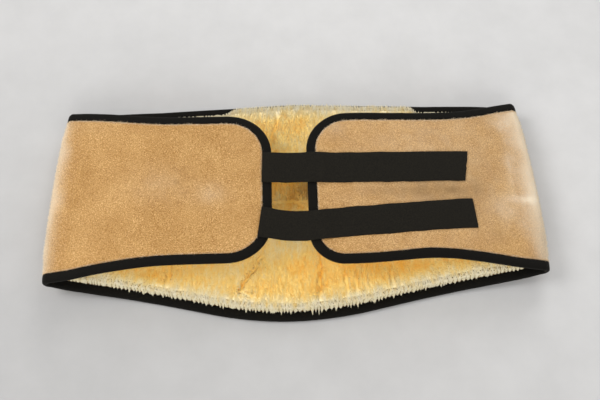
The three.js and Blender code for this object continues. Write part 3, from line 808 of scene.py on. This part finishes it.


# Strands at flat feet. Shades are the map's root and tip, and dim darkens single strands: random streaks, and
# painted shade in the partings.
def makeStrands(name, material, foot, lean, height, radius, tone, shades, dim=None):
    verts, faces = lock
    count = len(foot)
    rise = verts[:, 2]
    spin = softNoise(foot[:, 0] * 3.7, foot[:, 1] * 4.1, 61) * math.pi
    turnX = verts[None, :, 0] * np.cos(spin)[:, None] - verts[None, :, 1] * np.sin(spin)[:, None]
    turnY = verts[None, :, 0] * np.sin(spin)[:, None] + verts[None, :, 1] * np.cos(spin)[:, None]
    along = foot[:, 0, None] + turnX * radius[:, None] + lean[:, 0, None] * rise
    up = foot[:, 1, None] + turnY * radius[:, None] + lean[:, 1, None] * rise
    depth = foot[:, 2, None] + rise * height[:, None]
    co = bandPoint(along.ravel(), up.ravel(), depth.ravel())
    # strands on the outer face point the other way
    around = faces if np.mean(height) > 0 else faces[:, ::-1]
    index = (around[None] + (np.arange(count) * len(verts))[:, None, None]).reshape(-1, 3)
    mesh = bpy.data.meshes.new(name)
    mesh.vertices.add(len(co))
    mesh.vertices.foreach_set("co", co.ravel())
    mesh.loops.add(index.size)
    mesh.loops.foreach_set("vertex_index", index.ravel().astype(np.int32))
    mesh.polygons.add(len(index))
    mesh.polygons.foreach_set("loop_start", np.arange(0, index.size, 3, dtype=np.int32))
    mesh.update(calc_edges=True)
    shade = mix(shades[0], shades[1], rise)[None] * (np.ones(count) if dim is None else dim)[:, None]
    uv = np.stack([np.repeat(np.clip(tone, 0.01, 0.99)[:, None], len(verts), 1), shade], axis=-1)
    setMap(mesh, "OFBake", uv.reshape(-1, 2))
    strands = finishObject(name, mesh, material, False)
    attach(strands, "root")
    print(name, len(index))
    return strands


chance = np.random.default_rng(7)
lock = lockTemplate(3)


def scattered(count, alongRange, upRange, density):
    along = chance.uniform(*alongRange, count)
    up = chance.uniform(*upRange, count)
    keep = chance.uniform(0, 1, count) < density(along, up)
    return along[keep], up[keep]


pilePlan = {
    "perSquare": 3.3,  # strands on each square millimetre where the wool shows
    "hidden": 0.05,  # share of them deep between the layers
    "radius": (0.37, 0.58), "length": (0.6, 1.15), "sunk": 0.3, "clump": 0.9, "scatter": 0.3,
    "combed": 2.0,  # how far the pile lies over towards the near edge of the band
    "flare": 1.8,  # how much further it does near the rim
    "rimFrom": 8.5,
    "ridges": [(1.0, 2.8, 7.5, 71), (0.6, 1.5, 4.5, 72)],
    "streaks": [(1.0, 1.3, 4.2, 74), (0.6, 3.1, 6.5, 75)],
}


def ridgeAt(along, up):  # the streaky field that strands lean towards the tops of
    return waves(along, up, pilePlan["ridges"])


def woolStrands(name, alongRange, upRange, density):
    area = (alongRange[1] - alongRange[0]) * (upRange[1] - upRange[0])
    along, up = scattered(int(area * pilePlan["perSquare"]), alongRange, upRange, density)
    inside = insideBy(along, up)
    keep = inside > pilePlan["rimFrom"]
    along, up, inside = along[keep], up[keep], inside[keep]
    share = np.clip(pileAt(along, up) / band["pile"], 0.12, 1)
    foot = np.stack([along, up, fleeceTop(along, up) - pilePlan["sunk"] * share], axis=-1)
    # strands lean together towards the ridges, and outwards near the rim
    step, count = 0.4, len(along)
    pullX = (ridgeAt(along + step, up) - ridgeAt(along - step, up)) / (2 * step)
    pullY = (ridgeAt(along, up + step) - ridgeAt(along, up - step)) / (2 * step)
    outward = np.where(up > mix(edgeAt(along, 0), edgeAt(along, 1), 0.5), 1, -1)
    flare = pilePlan["flare"] * (1 - smooth(inside, 8, 24))
    leanX = pilePlan["clump"] * pullX + chance.normal(0, pilePlan["scatter"], count)
    leanX = leanX + 0.4 * softNoise(along / 19, up / 16, 73)
    leanY = pilePlan["clump"] * pullY + chance.normal(0, pilePlan["scatter"], count)
    leanY = leanY + outward * (flare + pilePlan["combed"])
    lean = np.stack([leanX, leanY], axis=-1)
    height = chance.uniform(*pilePlan["length"], count) * share
    radius = chance.uniform(*pilePlan["radius"], count) * np.sqrt(share)
    streak = waves(along, up, pilePlan["streaks"])
    tone = toneAt(along, up) + chance.normal(0, 0.03, count) - 0.16 * streak
    # painted shade: strands are darker in the partings; the streaks are random
    dim = np.clip(0.75 + 0.35 * streak - 0.25 * partingAt(along, up), 0.05, 1)
    height = height * (1 + 0.2 * streak)
    return makeStrands(name, wool, foot, lean * share[:, None], height, radius, tone, (0.2, 1.0), dim=dim)


def flapOver(x, side):  # edge of the flap that lies over a place of the back
    left = edgeAt(stops[1] - (x + halfFloor) * 0.98, side)
    right = edgeAt(stops[4] + (halfFloor - x) * 0.98, side)
    return np.where(x < 0, left, right)


def seen(along, up):  # thick where the pile shows past the flaps' edges, thin deep inside
    x, onBack = backX(along), (along > stops[2]) & (along < stops[3])
    past = np.maximum(flapOver(x, 0) + 16 - up, up - flapOver(x, 1) + 6)
    past = np.where((x > leftEnd - 14) & (x < rightEnd + 14), 10, past)
    back = mix(pilePlan["hidden"], 1, smooth(past, -8, 0)) * (1 - 0.6 * tuckAt(along, up))
    flap = mix(pilePlan["hidden"], 0.4, 1 - smooth(insideBy(along, up), 10, 26))
    return np.where(onBack, back, flap)


piles = [
    woolStrands("pileLowerLeft", (stops[2], stops[2] + halfFloor), (-112, -40), seen),
    woolStrands("pileLowerRight", (stops[2] + halfFloor, stops[3]), (-112, -40), seen),
    woolStrands("pileMiddle", (stops[2], stops[3]), (-40, 50), seen),
    woolStrands("pileUpper", (stops[2], stops[3]), (50, 112), seen),
    woolStrands("pileLeftFlap", (0, stops[2]), (-80, 96), seen),
    woolStrands("pileRightFlap", (stops[3], bandLength), (-80, 96), seen),
]

# tufts of the wool's rim, lying over the tape
tuftPlan = {
    "perLength": 30,  # strands on each millimetre of the rim
    "radius": (0.32, 0.52), "uneven": 1.1, "ragged": 0.3,
    # for each edge: width of a tuft, place across the belt and how far the tufts there reach over the tape
    "lower": {
        "tooth": 3.6, "rise": 1.0,
        "reach": [(-220, 0.2), (-165, 0.8), (-150, 3.0), (-125, 3.4), (-112, 2.0), (-90, 2.4), (-60, 2.6),
                  (0, 4.6), (40, 4.8), (80, 3.8), (110, 2.6), (150, 1.8), (220, 0.4)],
    },
    "upper": {
        "tooth": 4.6, "rise": 1.2,
        "reach": [(-220, 0.2), (-80, 0.4), (-66, 2.0), (-52, 5.0), (0, 6.5), (60, 6.0), (98, 5.0),
                  (114, 1.6), (130, 0.6), (220, 0.2)],
    },
}


def rimTufts(name, side, plan, alongRange):
    count = int((alongRange[1] - alongRange[0]) * tuftPlan["perLength"])
    along = np.sort(chance.uniform(*alongRange, count))
    outward = -1 if side == 0 else 1
    cell = along / plan["tooth"] + tuftPlan["uneven"] * softNoise(along / 9, along * 0, 81 + side)
    tooth = np.floor(cell)
    off = cell - tooth - 0.5
    chosen = np.abs(softNoise(tooth * 3.3, tooth * 0 + 0.5, 85 + side))
    x = backX(along)
    most = np.interp(x, [row[0] for row in plan["reach"]], [row[1] for row in plan["reach"]])
    ragged = softNoise(along / 0.9, along * 0 + 0.5, 87 + side)
    reach = 0.7 + most * ((0.15 + 1.3 * chosen) * (1 - 1.6 * np.abs(off)) + tuftPlan["ragged"] * ragged)
    level = chance.uniform(0, 1, count) ** 1.3  # 0 at the wool's foot, 1 on its shoulder
    inset = woolPlan["inset"] + woolPlan["shoulder"] * level ** woolPlan["shoulderBend"]
    inset = inset + chance.uniform(-0.3, 1.0, count)
    up = edgeAt(along, side) - outward * inset
    share = np.clip(pileAt(along, up) / band["pile"], 0.08, 1)
    base = woolBase + band["tape"] + 0.9
    foot = np.stack([along, up, mix(base, np.maximum(fleeceTop(along, up) - 0.5, base), level)], axis=-1)
    out = np.maximum(inset - band["tapeWidth"] + reach * (1 - 0.45 * level), 0.8)
    out = out * chance.uniform(0.75, 1.0, count)
    lean = np.stack([-off * plan["tooth"] * 0.7 + chance.normal(0, 0.25, count), outward * out], axis=-1)
    height = plan["rise"] * share * (0.15 + 0.8 * level) * chance.uniform(0.6, 1.2, count) + 0.05
    tone = np.clip(toneAt(along, up) * 0.7 + chance.normal(0.04, 0.03, count), 0, 1)
    radius = chance.uniform(*tuftPlan["radius"], count)
    return makeStrands(name, wool, foot, lean, height, radius, tone, (0.7, 1.0))


wholeBack = (stops[1] + 4, stops[4] - 4)
tufts = [
    rimTufts("tuftsLower", 0, tuftPlan["lower"], wholeBack),
    rimTufts("tuftsUpper", 1, tuftPlan["upper"], wholeBack),
]

# nap of the velour where it shows from the side: along the tape and round the folds
# painted sheen: the nap's tips are far paler than the velour itself
napSheenLook = {
    "tips": [(0.0, tint(255, 240, 214)), (1.0, tint(236, 196, 140))],
    "roots": [(0.0, tint(236, 210, 166)), (1.0, tint(196, 150, 90))],
}
napMaterial = woolMaterial(napSheenLook)
napMaterial.name = "velourNap"
napPlan = {
    "fringe": 9, "fold": 0.9,  # hairs on each millimetre of tape, and on each square millimetre of fold
    "length": (1.0, 1.8), "foldUp": (-76, 93),
    "inset": 7.6, "rim": {"corner": 24, "flap": 200, "fold": 40, "floor": 300, "ends": 90},
}


def tapeFringe(plan):  # hairs of the velour that bite over the tape's inner edge
    rim = rimPlaces(plan["rim"], plan["inset"], np.zeros(rimCount(plan["rim"])))
    following = np.roll(rim, -1, 0)
    gap = np.linalg.norm(following - rim, axis=1)
    onTop = (rim[:, 0] < stops[2] - 6) | (rim[:, 0] > stops[3] + 6)
    odds = gap * onTop / (gap * onTop).sum()
    pick = chance.choice(len(rim), int(gap[onTop].sum() * plan["fringe"]), p=odds)
    place = mix(rim[pick], following[pick], chance.uniform(0, 1, len(pick))[:, None])
    way = (following - rim)[pick] / np.maximum(gap[pick], 1e-6)[:, None]
    outward = np.stack([way[:, 1], -way[:, 0]], axis=-1)
    n = len(pick)
    start = place - outward * chance.uniform(0, 1.6, n)[:, None]
    clump = softNoise(place[:, 0] / 1.7, place[:, 1] / 1.7, 91)
    reach = chance.uniform(0.5, 1.5, n) + 1.1 * clump
    foot = np.stack([start[:, 0], start[:, 1], np.full(n, -0.3)], axis=-1)
    lean = outward * reach[:, None] + way * chance.normal(0, 0.35, n)[:, None]
    height = -chance.uniform(0.9, 1.5, n)
    radius = chance.uniform(0.12, 0.24, n)
    tone = chance.uniform(0.1, 0.7, n)
    return makeStrands("napFringe", napMaterial, foot, lean, height, radius, tone, (0.3, 1.0))


def foldNap(name, alongRange):
    area = (alongRange[1] - alongRange[0]) * band["sideHeight"]
    count = int(area * napPlan["fold"])
    clearOfTape = lambda a, u: np.where(insideBy(a, u) > 7.5, 1, 0)
    along, up = scattered(count, alongRange, napPlan["foldUp"], clearOfTape)
    n = len(along)
    foot = np.stack([along, up, np.full(n, -0.2)], axis=-1)
    lean = chance.normal(0, 0.35, (n, 2))
    middle = (alongRange[0] + alongRange[1]) / 2
    # painted sheen: the nap is palest at the middle of each fold
    tone = np.clip(smooth(np.abs(along - middle), 4, 30) + chance.normal(0, 0.15, n), 0, 1)
    height = -(0.6 + chance.uniform(*napPlan["length"], n))
    radius = chance.uniform(0.1, 0.18, n)
    return makeStrands(name, napMaterial, foot, lean, height, radius, tone, (0.2, 1.0))


naps = [
    tapeFringe(napPlan),
    foldNap("napLeftFold", (stops[1] - 14, stops[2] + 6)),
    foldNap("napRightFold", (stops[3] - 6, stops[4] + 14)),
]

# stage: pale sheet, soft daylight from the left, from behind and from the front
floorPlan = {
    "size": 4.0, "pale": tint(211, 211, 211), "shade": tint(204, 204, 204), "nearShade": tint(215, 215, 215),
}


def makeFloor(plan):
    bm = bmesh.new()
    bmesh.ops.create_grid(bm, x_segments=2, y_segments=2, size=plan["size"] / 2)
    bmesh.ops.translate(bm, verts=bm.verts[:], vec=(0, 0, -0.0002))
    mesh = bpy.data.meshes.new("paleSheet")
    bm.to_mesh(mesh)
    bm.free()
    material, tree, shader = newMaterial("paleSheet", Roughness=0.9, Specular_IOR_Level=0.1)
    place = tree.nodes.new("ShaderNodeTexCoord").outputs["Object"]
    cloud = addRamp(tree, addNoise(tree, place, 22, 4.0, 0.6), [(0.3, plan["shade"]), (0.7, plan["pale"])])
    split = addNode(tree, "ShaderNodeSeparateXYZ", Vector=place)
    # painted shade: the sheet's colour darkens evenly from the far right corner to the near left one
    nearer = addMath(tree, "ADD", addMath(tree, "MULTIPLY", split.outputs["X"], 0.8), split.outputs["Y"])
    white = (1, 1, 1, 1)
    nearShade = addRamp(tree, addMath(tree, "ADD", nearer, 0.5), [(0.1, plan["nearShade"]), (0.75, white)])
    tree.links.new(addBlend(tree, 1.0, cloud, nearShade, "MULTIPLY"), shader.inputs["Base Color"])
    floor = finishObject("paleSheet", mesh, material, False)


def addLight(name, place, aim, size, power, colour):
    data = bpy.data.lights.new(name, "AREA")
    data.shape = "DISK"
    data.size = size
    data.energy = power
    data.color = colour
    lamp = bpy.data.objects.new(name, data)
    lamp.location = place
    lamp.rotation_euler = (Vector(aim) - Vector(place)).to_track_quat("-Z", "Y").to_euler()
    scene.collection.objects.link(lamp)


makeFloor(floorPlan)
world = bpy.data.worlds.new("paleRoom")
world.use_nodes = True
room = world.node_tree.nodes["Background"]
room.inputs["Color"].default_value = (1.0, 0.99, 0.98, 1)
room.inputs["Strength"].default_value = 0.6
scene.world = world
scene.cycles.max_bounces = 16
scene.cycles.diffuse_bounces = 12
addLight("leftWindow", (-1.2, 0.1, 1.3), (0, 0, 0), 0.9, 13, (1.0, 0.98, 0.96))
addLight("farWindow", (0.6, 1.9, 1.3), (0, 0.1, 0), 1.4, 17, (1.0, 1.0, 1.0))
addLight("nearWindow", (-0.1, -1.5, 0.8), (0, -0.05, 0), 1.2, 13, (1.0, 0.99, 0.97))
print("stage set")
